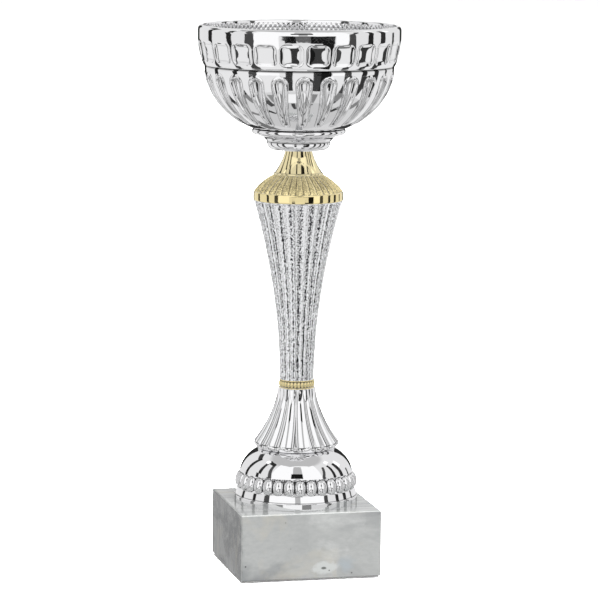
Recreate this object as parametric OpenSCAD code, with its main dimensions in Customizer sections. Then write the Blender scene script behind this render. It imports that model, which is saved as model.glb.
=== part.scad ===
// Column trophy: stone block, plated shells, tie rod through the middle.
// Millimetres, +Z up, the soles of the pads at z = 0, the front of the block faces -Y.

/* [Stone block] */
// Side of the square block
base_side = 75; // [60:1:120]
// Height of the block
base_h = 35; // [25:1:60]
// Bevel on the edges of the block
base_bevel = 0.6; // [0.2:0.1:2]
// Thickness of the four pads under the block
pad_t = 1; // [0.5:0.5:3]
// Diameter of a pad
pad_d = 12; // [8:1:20]

/* [Foot] */
// Height of the foot
foot_h = 28.6; // [20:0.1:50]
// Radius of the foot's lowest band
plinth_r = 32.5; // [25:0.1:37]
// Height of the foot's lowest band
plinth_h = 3.9; // [2:0.1:8]
// Number of large beads round the foot
foot_beads = 32; // [20:1:48]
// Radius over the large beads
foot_bead_r = 32.2; // [25:0.1:37]

/* [Riser] */
// Height of the fluted bell
riser_h = 31.9; // [20:0.1:60]
// Radius at the bell's lip
riser_lip_r = 22.8; // [15:0.1:30]
// Radius at the bell's top
riser_top_r = 10; // [8:0.1:15]
// Number of flutes on the bell
riser_flutes = 18; // [12:1:24]

/* [Small bead ring] */
// Height of the small bead ring
ring_h = 4.5; // [3:0.1:8]
// Radius over the small beads
ring_r = 9.7; // [8:0.1:14]
// Number of small beads
ring_beads = 30; // [20:1:40]

/* [Column] */
// Height of the column
column_h = 95; // [60:1:300]
// Radius at the column's foot
column_r0 = 9.1; // [8:0.1:14]
// Number of flutes on the column
column_flutes = 24; // [12:1:36]

/* [Collar and neck] */
// Radius of the collar's plain band
collar_r = 23.65; // [20:0.1:30]
// Height of the collar's plain band
collar_band_h = 4.5; // [3:0.1:8]
// Height of the collar's ribbed shoulder
shoulder_h = 9; // [6:0.5:14]
// Number of ribs on the shoulder
shoulder_ribs = 36; // [24:1:48]
// Height of the neck
neck_h = 13; // [8:0.5:30]
// Radius at the neck's top
neck_top_r = 7; // [6:0.1:10]

/* [Cup] */
// Outer radius of the cup at its rim
cup_r = 53.2; // [45:0.1:70]
// Height of the cup with its turned stem
cup_h = 65; // [55:0.5:80]
// Wall thickness of the cup
cup_wall = 1.8; // [1.5:0.1:3]
// Number of windows and of flutes round the cup
cup_repeats = 24; // [16:1:32]

/* [Tie rod] */
// Diameter of the threaded rod
rod_d = 6; // [6:1:8]
// Depth of the pocket under the block
pocket_depth = 14; // [12:1:20]
// Diameter of the pocket under the block
pocket_d = 28; // [22:1:40]

/* [Hidden] */

$fn = 96;

wall = 2;             // wall of the plated shells
web = 2.5;            // thickness of the shells' cross webs
rod_hole = rod_d + 0.6;
bore_d = 8;           // bore through the stone
spigot_gap = 0.2;     // radial clearance of a locating spigot

pad_inset = 12;       // from the block's sides to a pad's centre
washer_d = 18;
washer_t = 1.6;
nut_af = 10;
nut_h = 5;
nut_bore = rod_d + 0.05;
rod_end = 3;          // rod standing proud of a nut

// How far each piece is turned on the rod, from +X, in degrees
cup_turn = 5;
shoulder_turn = 8.5;
column_turn = 13.3;
riser_turn = 15.8;
foot_turn = 2.7;

// Heights of the joints in the stack
base_z = pad_t;
foot_z = base_z + base_h;
riser_z = foot_z + foot_h;
ring_z = riser_z + riser_h;
column_z = ring_z + ring_h;
collar_z = column_z + column_h;
neck_z = collar_z + collar_band_h + shoulder_h;
cup_z = neck_z + neck_h;

// Foot: dome section is a quarter of an ellipse
dome_axis_r = 10;     // radius where the ellipse is centred
dome_a = 20.7;
dome_b = 19.4;
dome_z = 11.5;        // height of the ellipse's centre, and of the bead row
skirt_top = 7.6;      // height where the skirt under the beads meets them
skirt_in = 1.05;      // how far the skirt leans in from the plinth band to its top
bead_seat_r = 29.2;   // radius of the wall behind the beads
foot_bore_r = 27;
foot_bead_w = 6.3;
foot_bead_h = 8.8;

// Riser
lip_r = 20.6;         // radius of the lip's under edge
lip_h = 3;            // height of the widest point
spigot_r = 17.6;      // foot's spigot inside the riser
spigot_h = 1.5;
ring_spigot_r = 6;    // riser's spigot inside the small bead ring

// Column and collar
column_slope = 1.2;   // growth of the radius, linear part
column_curve = 13.2;  // growth of the radius, quadratic part
plug_h = 3;           // collar's plug inside the column

// Cup, heights from its own foot
floor_z = 4;          // inside floor the nut stands on
well_r = 12.5;
bowl_z = 44.5;        // ledge between bowl and upper band
bowl_a = 49.6;        // bowl section is a quarter of an ellipse
bowl_b = 38.4;
bowl_z0 = 11.7;       // where the bowl leaves the turned stem
band_curve_z = 59.5;  // upper band is straight above this height
band_r0 = 50;
lip_round = 1;

function arc(cx, cy, rx, ry, a0, a1, n) =
    [for (i = [0:n]) let (a = a0 + (a1 - a0) * i / n) [cx + rx * cos(a), cy + ry * sin(a)]];

function dome_r(z, inset) =
    dome_axis_r + (dome_a - inset) * sqrt(max(0, 1 - pow((z - dome_z) / (dome_b - inset), 2)));

function riser_r(z) =
    z <= lip_h ? lip_r + (riser_lip_r - lip_r) * sin(90 * z / lip_h)
    : let (s = (riser_h - z) / (riser_h - lip_h))
      riser_top_r + (riser_lip_r - riser_top_r) * (0.28 * s + 0.72 * s * s);

function column_r(z) =
    let (t = z / column_h) column_r0 + column_slope * t + column_curve * t * t;

function shoulder_r(z) =
    let (u = z / shoulder_h) collar_r - 5.2 * u - 5.5 * u * u;

function neck_r(z) =
    let (v = (neck_h - z) / neck_h) neck_top_r + 2.4 * v + 3.8 * v * v;

function bowl_r(z, inset) =
    (bowl_a - inset) * sqrt(max(0, 1 - pow((bowl_z - z) / (bowl_b - inset), 2)));

function band_r(z) =
    z >= band_curve_z ? cup_r - 0.05
    : cup_r - 0.05 - (cup_r - band_r0) * pow((band_curve_z - z) / (band_curve_z - bowl_z + 0.5), 2.2);

// Depth of a flute across its width: 0 on the ridge, 1 in the middle
function scoop(phase) = 1 - pow(abs(2 * phase - 1), 1.6);

// A closed body whose rows are rings of points; rows lists [height, radius, depth]
module fluted_body(rows, flutes, steps) {
    count = flutes * steps;
    last = len(rows) - 1;
    points = [for (row = rows)
        for (i = [0:count - 1])
            let (a = 360 * i / count, r = row[1] - row[2] * scoop((i % steps) / steps))
            [r * cos(a), r * sin(a), row[0]]];
    sides = [for (k = [0:last - 1])
        for (i = [0:count - 1])
            let (j = (i + 1) % count)
            each [[k * count + i, (k + 1) * count + i, (k + 1) * count + j],
                  [k * count + i, (k + 1) * count + j, k * count + j]]];
    bottom = [[for (i = [0:count - 1]) i]];
    top = [[for (i = [count - 1:-1:0]) last * count + i]];
    polyhedron(points = points, faces = concat(sides, bottom, top));
}

module at_angles(count, radius, first = 0) {
    for (i = [0:count - 1])
        rotate([0, 0, first + 360 * i / count])
            translate([radius, 0, 0])
                children();
}

// Upright bead with round ends
module bead(width, height) {
    r = width / 2;
    half = height / 2 - r;
    rotate_extrude($fn = 32)
        polygon(concat(arc(0, -half, r, r, -90, 0, 6), arc(0, half, r, r, 0, 90, 6)));
}

module bevelled_square(w, h, bevel) {
    polygon([[-w / 2 + bevel, -h / 2], [w / 2 - bevel, -h / 2], [w / 2, -h / 2 + bevel],
             [w / 2, h / 2 - bevel], [w / 2 - bevel, h / 2], [-w / 2 + bevel, h / 2],
             [-w / 2, h / 2 - bevel], [-w / 2, -h / 2 + bevel]]);
}

module base_pads() {
    reach = base_side / 2 - pad_inset;
    color("dimgray")
        for (x = [-reach, reach], y = [-reach, reach])
            translate([x, y, 0])
                cylinder(d = pad_d, h = pad_t);
}

module bevelled_block() {
    intersection() {
        linear_extrude(base_h)
            bevelled_square(base_side, base_side, base_bevel);
        translate([0, base_side / 2, base_h / 2])
            rotate([90, 0, 0])
                linear_extrude(base_side)
                    bevelled_square(base_side, base_h, base_bevel);
        translate([-base_side / 2, 0, base_h / 2])
            rotate([90, 0, 90])
                linear_extrude(base_side)
                    bevelled_square(base_side, base_h, base_bevel);
    }
}

module marble_base() {
    color("gainsboro")
        translate([0, 0, base_z])
            difference() {
                bevelled_block();
                translate([0, 0, -1])
                    cylinder(d = bore_d, h = base_h + 2);
                translate([0, 0, -1])
                    cylinder(d = pocket_d, h = pocket_depth + 1);
            }
}

module washer() {
    difference() {
        cylinder(d = washer_d, h = washer_t);
        translate([0, 0, -1])
            cylinder(d = rod_hole, h = washer_t + 2);
    }
}

// Hex nut with the corners turned off
module hex_nut() {
    corner_r = nut_af / sqrt(3);
    turned = corner_r - nut_af / 2;
    difference() {
        intersection() {
            cylinder(r = corner_r, h = nut_h, $fn = 6);
            rotate_extrude()
                polygon([[0, 0], [nut_af / 2, 0], [corner_r, turned], [corner_r, nut_h - turned],
                         [nut_af / 2, nut_h], [0, nut_h]]);
        }
        translate([0, 0, -1])
            cylinder(d = nut_bore, h = nut_h + 2);
    }
}

module base_washer() {
    color("silver")
        translate([0, 0, base_z + pocket_depth - washer_t])
            washer();
}

module base_nut() {
    color("silver")
        translate([0, 0, base_z + pocket_depth - washer_t - nut_h])
            hex_nut();
}

module tie_rod() {
    z0 = base_z + pocket_depth - washer_t - nut_h - rod_end;
    z1 = cup_z + floor_z + washer_t + nut_h + rod_end;
    r = rod_d / 2;
    tip = 0.8;
    color("darkgray")
        rotate_extrude()
            polygon([[0, z0], [r - tip, z0], [r, z0 + tip], [r, z1 - tip], [r - tip, z1], [0, z1]]);
}

// Plinth band, leaning skirt, seat of the bead row and dome, turned round the axis
module foot_outline() {
    edge = 0.3;           // softened edges of the plinth band
    dome_start = dome_z + 4.7;
    polygon(concat(
        [[0, 0], [plinth_r - edge, 0], [plinth_r, edge], [plinth_r, plinth_h - edge],
         [plinth_r - edge, plinth_h], [plinth_r - edge - skirt_in, skirt_top],
         [bead_seat_r + 1, skirt_top + 1], [bead_seat_r, dome_z - 1], [bead_seat_r, dome_z + 3]],
        [for (i = [0:14]) let (z = dome_start + (foot_h - dome_start) * i / 14) [dome_r(z, 0), z]],
        [[0, foot_h]]));
}

module foot_cavity() {
    inner_top = foot_h - web;
    polygon(concat(
        [[0, -1], [foot_bore_r, -1], [foot_bore_r, dome_z]],
        [for (i = [1:10]) let (z = dome_z + (inner_top - dome_z) * i / 10) [dome_r(z, wall + 0.3), z]],
        [[0, inner_top]]));
}

module foot() {
    color("whitesmoke")
        translate([0, 0, foot_z])
            rotate([0, 0, foot_turn])
                difference() {
                    union() {
                        rotate_extrude() foot_outline();
                        translate([0, 0, dome_z])
                            at_angles(foot_beads, foot_bead_r - foot_bead_w / 2)
                                bead(foot_bead_w, foot_bead_h);
                        translate([0, 0, foot_h - 1])
                            cylinder(r = spigot_r, h = spigot_h + 1);
                    }
                    rotate_extrude() foot_cavity();
                    cylinder(d = rod_hole, h = foot_h + spigot_h + 1);
                }
}

module riser_cavity() {
    inner_top = riser_h - web;
    sink = wall + 1.2;
    polygon(concat(
        [[0, -1], [spigot_r + spigot_gap, -1], [spigot_r + spigot_gap, spigot_h + 0.5]],
        [for (i = [0:10]) let (z = lip_h + (inner_top - lip_h) * i / 10) [riser_r(z) - sink, z]],
        [[0, inner_top]]));
}

module riser() {
    flute = 0.045;        // flute depth as a share of the radius
    lip_rows = [for (z = [0, 0.8, 1.8]) [z, riser_r(z), 0.2 * z]];
    bell_rows = [for (i = [0:11])
        let (z = lip_h + (riser_h - lip_h) * i / 11)
        [z, riser_r(z), flute * riser_r(z)]];
    color("whitesmoke")
        translate([0, 0, riser_z])
            difference() {
                union() {
                    rotate([0, 0, riser_turn])
                        fluted_body(concat(lip_rows, bell_rows), riser_flutes, 6);
                    translate([0, 0, riser_h - 1])
                        cylinder(r = ring_spigot_r, h = 1 + ring_h / 2);
                }
                rotate_extrude() riser_cavity();
                cylinder(d = rod_hole, h = riser_h + ring_h);
            }
}

module bead_ring() {
    core_r = ring_r - 0.7;
    low_edge_r = ring_r - 0.2;
    high_edge_r = ring_r - 0.3;
    edge_h = 0.7;
    small_bead_w = 1.9;
    small_bead_h = 3;
    color("gold")
        translate([0, 0, ring_z])
            difference() {
                union() {
                    cylinder(r = core_r, h = ring_h);
                    cylinder(r = low_edge_r, h = edge_h);
                    translate([0, 0, ring_h - edge_h])
                        cylinder(r = high_edge_r, h = edge_h);
                    translate([0, 0, ring_h / 2])
                        at_angles(ring_beads, ring_r - small_bead_w / 2)
                            bead(small_bead_w, small_bead_h);
                }
                translate([0, 0, -1])
                    cylinder(r = ring_spigot_r + spigot_gap, h = ring_h + 2);
            }
}

module column_cavity() {
    sink = wall + 0.5;
    polygon(concat(
        [[0, web]],
        [for (i = [0:12]) let (z = web + (column_h + 1 - web) * i / 12) [column_r(z) - sink, z]],
        [[0, column_h + 1]]));
}

module column() {
    flute = 0.035;        // flute depth as a share of the radius
    rows = [for (i = [0:15]) let (z = column_h * i / 15) [z, column_r(z), flute * column_r(z)]];
    color("silver")
        translate([0, 0, column_z])
            difference() {
                rotate([0, 0, column_turn])
                    fluted_body(rows, column_flutes, 4);
                rotate_extrude() column_cavity();
                translate([0, 0, -1])
                    cylinder(d = rod_hole, h = web + 2);
            }
}

module collar_cavity() {
    inner_top = collar_band_h + shoulder_h - web;
    mouth_r = column_r(column_h - plug_h) - wall - 1 - wall;
    polygon([[0, -plug_h - 1], [mouth_r, -plug_h - 1], [mouth_r, collar_band_h],
             [shoulder_r(inner_top - collar_band_h) - wall - 1, inner_top], [0, inner_top]]);
}

module collar() {
    band_round = 0.4;
    plug_r = column_r(column_h - plug_h) - wall - 1;
    bed = 1;              // stretch of the shoulder inside the band
    step_in = 0.25;       // from the band's face to the ribs
    groove = 0.9;         // depth between the ribs beside the band, less towards the neck
    rows = concat([[-bed, collar_r - 2, 0]],
                  [for (i = [0:7])
                      let (z = shoulder_h * i / 7)
                      [z, shoulder_r(z) - step_in, groove - 0.4 * z / shoulder_h]]);
    color("gold")
        translate([0, 0, collar_z])
            difference() {
                union() {
                    translate([0, 0, -plug_h])
                        cylinder(r = plug_r, h = plug_h + 1);
                    rotate_extrude()
                        polygon([[0, 0], [collar_r - band_round, 0], [collar_r, band_round],
                                 [collar_r, collar_band_h - band_round],
                                 [collar_r - band_round, collar_band_h], [0, collar_band_h]]);
                    translate([0, 0, collar_band_h])
                        rotate([0, 0, shoulder_turn])
                            fluted_body(rows, shoulder_ribs, 4);
                }
                rotate_extrude() collar_cavity();
                cylinder(d = rod_hole, h = collar_band_h + shoulder_h + 1);
            }
}

module neck() {
    solid_h = 6;          // upper stretch with only the rod's hole through it
    foot_round = 0.5;
    color("gold")
        translate([0, 0, neck_z])
            difference() {
                rotate_extrude()
                    polygon(concat(
                        [[0, 0], [neck_r(0) - foot_round, 0]],
                        [for (i = [0:12])
                            let (z = foot_round + (neck_h - foot_round) * i / 12)
                            [neck_r(z), z]],
                        [[0, neck_h]]));
                rotate_extrude()
                    polygon([[0, -1], [neck_r(0) - wall, -1], [neck_r(0) - wall, 0],
                             [rod_hole / 2 + 0.5, neck_h - solid_h], [0, neck_h - solid_h]]);
                cylinder(d = rod_hole, h = neck_h + 1);
            }
}

// Turned stem, bowl and upper band of the cup, from the foot outwards and up
function cup_outside() =
    let (low_ring_r = 13, low_ring_z = 3.6, high_ring_r = 22.4, high_ring_z = 9.8,
         ledge_z = bowl_z - 0.5)
    concat(
        [[0, 0], [low_ring_r, 0]],
        arc(low_ring_r, low_ring_z, 3.7, 3.6, -80, 10, 6),
        [[17.2, 5], [18.6, 6.4], [20, 7.2], [high_ring_r, 8]],
        arc(high_ring_r, high_ring_z, 2.2, 1.8, -60, 60, 5),
        [for (i = [0:20]) let (z = bowl_z0 + (ledge_z - bowl_z0) * i / 20) [bowl_r(z, 0), z]],
        [[band_r0, ledge_z]],
        [for (i = [1:9]) let (z = ledge_z + (band_curve_z - ledge_z) * i / 9) [band_r(z), z]]);

module cup_section() {
    rim_r = cup_r - lip_round;
    well_top = bowl_z0 - 2;
    inner_start = bowl_z0 + 0.6;
    polygon(concat(
        cup_outside(),
        arc(rim_r, cup_h - lip_round, lip_round, lip_round, 0, 180, 8),
        [[rim_r - lip_round, band_curve_z]],
        [for (i = [1:8])
            let (z = band_curve_z - (band_curve_z - bowl_z) * i / 8)
            [band_r(z) - cup_wall, z]],
        [for (i = [1:14])
            let (z = bowl_z - (bowl_z - inner_start) * i / 14)
            [bowl_r(z, cup_wall), z]],
        [[well_r + 1, well_top], [well_r, well_top - 2], [well_r, floor_z], [0, floor_z]]));
}

// Shallow square window with round corners, cut into the upper band
module window_cut() {
    w = 10.6;
    h = 10.6;
    corner = 3;
    middle_z = 51.8;
    face_r = 51.6;
    lean = 9;
    translate([face_r, 0, middle_z])
        rotate([0, lean, 0])
            rotate([90, 0, 90])
                linear_extrude(4)
                    union() {
                        square([w - 2 * corner, h], center = true);
                        square([w, h - 2 * corner], center = true);
                        for (x = [-1, 1], y = [-1, 1])
                            translate([x * (w / 2 - corner), y * (h / 2 - corner)])
                                circle(corner, $fn = 24);
                    }
}

// Long scoop that follows the bowl, cut by a bent round bar
module scoop_cut() {
    bar_r = 10;
    depth = 0.8;
    bend_r = 36.2;        // circle that lies closest to the bowl's ellipse
    bend_axis_r = 13.6;
    bend_z = 46.35;
    low = -57;
    high = -10;
    translate([bend_axis_r, 0, bend_z])
        rotate([90, 0, 0])
            rotate([0, 0, low])
                rotate_extrude(angle = high - low)
                    translate([bend_r + bar_r - depth, 0])
                        circle(bar_r);
}

module cup() {
    color("whitesmoke")
        translate([0, 0, cup_z])
            difference() {
                rotate_extrude() cup_section();
                at_angles(cup_repeats, 0, cup_turn + 180 / cup_repeats)
                    window_cut();
                at_angles(cup_repeats, 0, cup_turn)
                    scoop_cut();
                translate([0, 0, -1])
                    cylinder(d = rod_hole, h = floor_z + 2);
            }
}

module cup_washer() {
    color("silver")
        translate([0, 0, cup_z + floor_z])
            washer();
}

module cup_nut() {
    color("silver")
        translate([0, 0, cup_z + floor_z + washer_t])
            hex_nut();
}

base_pads();
marble_base();
base_nut();
base_washer();
tie_rod();
foot();
riser();
bead_ring();
column();
collar();
neck();
cup();
cup_washer();
cup_nut();
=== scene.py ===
import math

import bpy
import numpy as np
from mathutils import Matrix, Vector


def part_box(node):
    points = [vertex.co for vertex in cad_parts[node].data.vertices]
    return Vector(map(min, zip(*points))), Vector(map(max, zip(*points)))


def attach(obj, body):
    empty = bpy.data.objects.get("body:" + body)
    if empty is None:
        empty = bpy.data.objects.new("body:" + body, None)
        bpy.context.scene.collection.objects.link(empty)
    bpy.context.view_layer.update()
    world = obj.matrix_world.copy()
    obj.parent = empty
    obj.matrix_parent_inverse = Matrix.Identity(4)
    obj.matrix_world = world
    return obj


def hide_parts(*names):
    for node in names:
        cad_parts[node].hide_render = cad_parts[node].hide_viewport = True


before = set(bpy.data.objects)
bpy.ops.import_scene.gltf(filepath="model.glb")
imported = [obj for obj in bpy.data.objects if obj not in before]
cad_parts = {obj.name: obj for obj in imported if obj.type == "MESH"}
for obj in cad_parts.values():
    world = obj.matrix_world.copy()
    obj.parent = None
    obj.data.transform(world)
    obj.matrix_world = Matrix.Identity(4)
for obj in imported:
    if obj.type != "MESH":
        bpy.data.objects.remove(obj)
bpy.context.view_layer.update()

# The trophy is drawn in millimetres and turned into metres when a mesh is made. The studio is in metres.
MM = 0.001
SEED = 20260


def level(node, end):
    """Height of a CAD node's underside (end 0) or top (end 1), in millimetres."""
    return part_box(node)[end][2] / MM


BLOCK_TOP = level("marble_base", 1)
BLOCK_HALF = 37.5
FOOT_Z = BLOCK_TOP
FOOT_H = 28.6
RISER_Z = FOOT_Z + FOOT_H
RING_Z = level("bead_ring", 0)
RING_H = level("bead_ring", 1) - RING_Z
RISER_H = RING_Z - RISER_Z
COLUMN_Z = level("column", 0)
COLUMN_H = level("column", 1) - COLUMN_Z
COLLAR_Z = level("column", 1)
NECK_Z = level("neck", 0)
NECK_H = level("neck", 1) - NECK_Z
CUP_Z = level("cup", 0)
CUP_H = level("cup", 1) - CUP_Z

# Shared by the hollow pieces: their wall, the web across their top, and the rod's hole through it.
WALL = 2.0
WEB = 2.5
ROD_HOLE_R = 3.3


# ---------------------------------------------------------------- outlines

def arc(cx, cy, rx, ry, start, end, count):
    """Points on an elliptic arc, angles in degrees."""
    angles = np.radians(np.linspace(start, end, count + 1))
    return [(cx + rx * math.cos(a), cy + ry * math.sin(a)) for a in angles]


def curve(radius_at, low, high, count):
    """Points (radius, height) along a radius given as a function of height."""
    return [(float(radius_at(z)), z) for z in np.linspace(low, high, count + 1)]


def raised(points, by):
    """The same outline higher up."""
    return [(r, z + by) for r, z in points]


def smooth_step(low, high, value):
    """0 up to low and 1 from high on, with a smooth rise between them."""
    t = np.clip((value - low) / (high - low), 0.0, 1.0)
    return t * t * (3.0 - 2.0 * t)


# Which face of a wall a stretch of outline is: relief stands on the outer face, shows through on the
# inner face, and leaves a plain stretch alone.
OUTER = 1
INNER = -1
PLAIN = 0
TOUCHING = 1e-4


def sampled(stretches):
    """Rows (radius, height, side, share) at each stretch's step along its points."""
    rows = []
    for points, step, side, share in stretches:
        for a, b in zip(points, points[1:]):
            count = max(1, math.ceil(math.dist(a, b) / step))
            for i in range(count):
                t = i / count
                rows.append((a[0] + (b[0] - a[0]) * t, a[1] + (b[1] - a[1]) * t, side, share))
        rows.append((*points[-1], side, share))
    return rows


def without_doubles(rows):
    """Rows of a closed outline without those that lie on the row before."""
    kept = [rows[0]]
    for row in rows[1:]:
        if math.dist(row[:2], kept[-1][:2]) > TOUCHING:
            kept.append(row)
    if math.dist(kept[0][:2], kept[-1][:2]) < TOUCHING:
        kept.pop()
    return kept


def trace(stretches):
    """Radii, heights, directions of relief, sides and shares of a closed outline's rows."""
    radii, heights, sides, shares = np.array(without_doubles(sampled(stretches))).T
    along_r = np.roll(radii, -1) - np.roll(radii, 1)
    along_z = np.roll(heights, -1) - np.roll(heights, 1)
    length = np.hypot(along_r, along_z)
    way = np.where(sides == INNER, -1.0, 1.0)
    return radii, heights, along_z / length * way, -along_r / length * way, sides, shares.astype(int)


# ---------------------------------------------------------------- meshes

def add_mesh(name, points, faces):
    """A new smooth-shaded object in the scene."""
    mesh = bpy.data.meshes.new(name)
    mesh.from_pydata(points, [], faces)
    mesh.shade_smooth()
    piece = bpy.data.objects.new(name, mesh)
    bpy.context.scene.collection.objects.link(piece)
    return piece


def ring_faces(numbers, row, row_share, above, above_share, columns):
    """Faces between two rings of points, the coarser ring's cells closed by polygons."""
    cell = max(row_share, above_share)
    faces = []
    for i in range(0, columns, cell):
        low = [numbers[row][j % columns] for j in range(i, i + cell + 1, row_share)]
        high = [numbers[above][j % columns] for j in range(i, i + cell + 1, above_share)]
        faces.append(low + high[::-1])
    return faces


def turned(name, base, stretches, columns, relief=None, turn=0.0, sharp=None):
    """A closed body of revolution, standing at the height base, from stretches of its outline.

    A stretch is (points, step, side, share): step is the length of its cells, and share keeps only every
    second, third... column where that is enough. relief(angle, radius, height, side) is in millimetres,
    with the angle counted from turn. Edges above sharp degrees stay crisp.
    """
    stretches = [(raised(points, base), step, side, share) for points, step, side, share in stretches]
    radii, heights, push_r, push_z, sides, shares = trace(stretches)
    angle = np.linspace(0.0, 2.0 * math.pi, columns, endpoint=False)
    r = np.repeat(radii[:, None], columns, axis=1)
    z = np.repeat(heights[:, None], columns, axis=1)
    if relief is not None:
        lift = relief(angle[None, :], r, z, sides[:, None]) * np.abs(sides)[:, None]
        r = r + lift * push_r[:, None]
        z = z + lift * push_z[:, None]
    around = angle + math.radians(turn)
    points = np.stack([r * np.cos(around), r * np.sin(around), z], axis=-1) * MM
    used = np.arange(columns)[None, :] % shares[:, None] == 0
    numbers = np.where(used, np.cumsum(used).reshape(used.shape) - 1, -1).tolist()
    faces = []
    for row in range(len(radii)):
        above = (row + 1) % len(radii)
        faces += ring_faces(numbers, row, int(shares[row]), above, int(shares[above]), columns)
    piece = add_mesh(name, points[used].tolist(), faces)
    if sharp is not None:
        piece.data.set_sharp_from_angle(angle=math.radians(sharp))
    return piece


def add_oval(points, faces, middle, outward, aside, upward, steps):
    """Add one ellipsoid, given by its middle and its three half axes, to a mesh in the making."""
    around_steps, up_steps = steps
    start = len(points)
    points.append((middle - upward) * MM)
    for k in range(1, up_steps):
        rise = math.pi * (k / up_steps - 0.5)
        for i in range(around_steps):
            spin = 2.0 * math.pi * i / around_steps
            offset = outward * math.cos(spin) + aside * math.sin(spin)
            points.append((middle + offset * math.cos(rise) + upward * math.sin(rise)) * MM)
    points.append((middle + upward) * MM)
    last = len(points) - 1
    top = last - around_steps
    for i in range(around_steps):
        j = (i + 1) % around_steps
        faces.append((start, start + 1 + j, start + 1 + i))
        for k in range(up_steps - 2):
            low = start + 1 + k * around_steps
            high = low + around_steps
            faces.append((low + i, low + j, high + j, high + i))
        faces.append((top + i, top + j, last))


def ovals(count, first, radius, height, half, lean, steps):
    """Ellipsoids set round the axis; half is (outward, sideways, upright), lean tips their tops inward."""
    lean = math.radians(lean)
    upright = np.array([0.0, 0.0, 1.0])
    points = []
    faces = []
    for bead in range(count):
        turn = first + 2.0 * math.pi * bead / count
        radial = np.array([math.cos(turn), math.sin(turn), 0.0])
        outward = (radial * math.cos(lean) + upright * math.sin(lean)) * half[0]
        aside = np.array([-math.sin(turn), math.cos(turn), 0.0]) * half[1]
        upward = (upright * math.cos(lean) - radial * math.sin(lean)) * half[2]
        add_oval(points, faces, radial * radius + upright * height, outward, aside, upward, steps)
    return add_mesh("beads", [tuple(p) for p in points], faces)


def join(piece, other, sharp):
    """Unite a piece with another body, keeping one closed skin."""
    union = piece.modifiers.new("union", "BOOLEAN")
    union.operation = "UNION"
    union.solver = "MANIFOLD"
    union.object = other
    bpy.context.view_layer.update()
    shown = piece.evaluated_get(bpy.context.evaluated_depsgraph_get())
    mesh = bpy.data.meshes.new_from_object(shown)
    piece.modifiers.clear()
    piece.data = mesh
    bpy.data.objects.remove(other)
    mesh.shade_smooth()
    mesh.set_sharp_from_angle(angle=math.radians(sharp))


def join_beads(piece, count, first, radius, height, half, lean, steps):
    """Unite a ring of beads with a piece, in two lots because neighbouring beads overlap."""
    for lot in (0, 1):
        turn = math.radians(first + lot * 360.0 / count)
        join(piece, ovals(count // 2, turn, radius, height, half, lean, steps), sharp=32)


# ---------------------------------------------------------------- relief

def across(angle, repeats, offset=0.0):
    """Angle from the nearest repeat's middle, in radians."""
    period = 2.0 * math.pi / repeats
    return (angle / period + offset + 0.5) % 1.0 * period - period / 2.0


def flute_phase(angle, repeats, offset=0.5):
    """Place across a repeat, 0 in its middle and 1 or -1 at its edges."""
    return across(angle, repeats, offset) / (math.pi / repeats)


def wear(shape, seed, low, high):
    """Seeded noise on a grid that closes round its second axis, limited to waves between low and high."""
    rng = np.random.default_rng(seed)
    rows, columns = shape
    waves = np.fft.rfft2(rng.standard_normal(shape))
    fy = np.abs(np.fft.fftfreq(rows))[:, None] * rows
    fx = np.fft.rfftfreq(columns)[None, :] * columns
    size = np.hypot(fy / high[0], fx / high[1])
    base = np.hypot(fy / low[0], fx / low[1])
    waves *= np.exp(-size ** 2) * (1.0 - np.exp(-base ** 2))
    field = np.fft.irfft2(waves, s=shape)
    return field / field.std()


# ---------------------------------------------------------------- foot

FOOT_BORE_R = 27.0
PLINTH_R = 32.5
PLINTH_H = 3.9
SKIRT_STEP = 0.3
SKIRT_LEAN = 1.05
SKIRT_TOP = 7.6
FOOT_BEADS = 32
BEAD_CIRCLE_R = 29.2
DOME_Z = 11.5
DOME_CORE_R = 10.0
DOME_WIDTH = 20.7
DOME_HEIGHT = 19.4
SPIGOT_R = 17.6
SPIGOT_H = 1.5


def skirt_r(z):
    """Leaning skirt between the plinth band and the beads."""
    return PLINTH_R - SKIRT_STEP - SKIRT_LEAN * (z - PLINTH_H) / (SKIRT_TOP - PLINTH_H)


def dome_r(z, inset=0.0):
    """Dome whose side is a quarter of an oval round a core."""
    rise = (z - DOME_Z) / (DOME_HEIGHT - inset)
    return DOME_CORE_R + (DOME_WIDTH - inset) * math.sqrt(max(0.0, 1.0 - rise ** 2))


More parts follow.
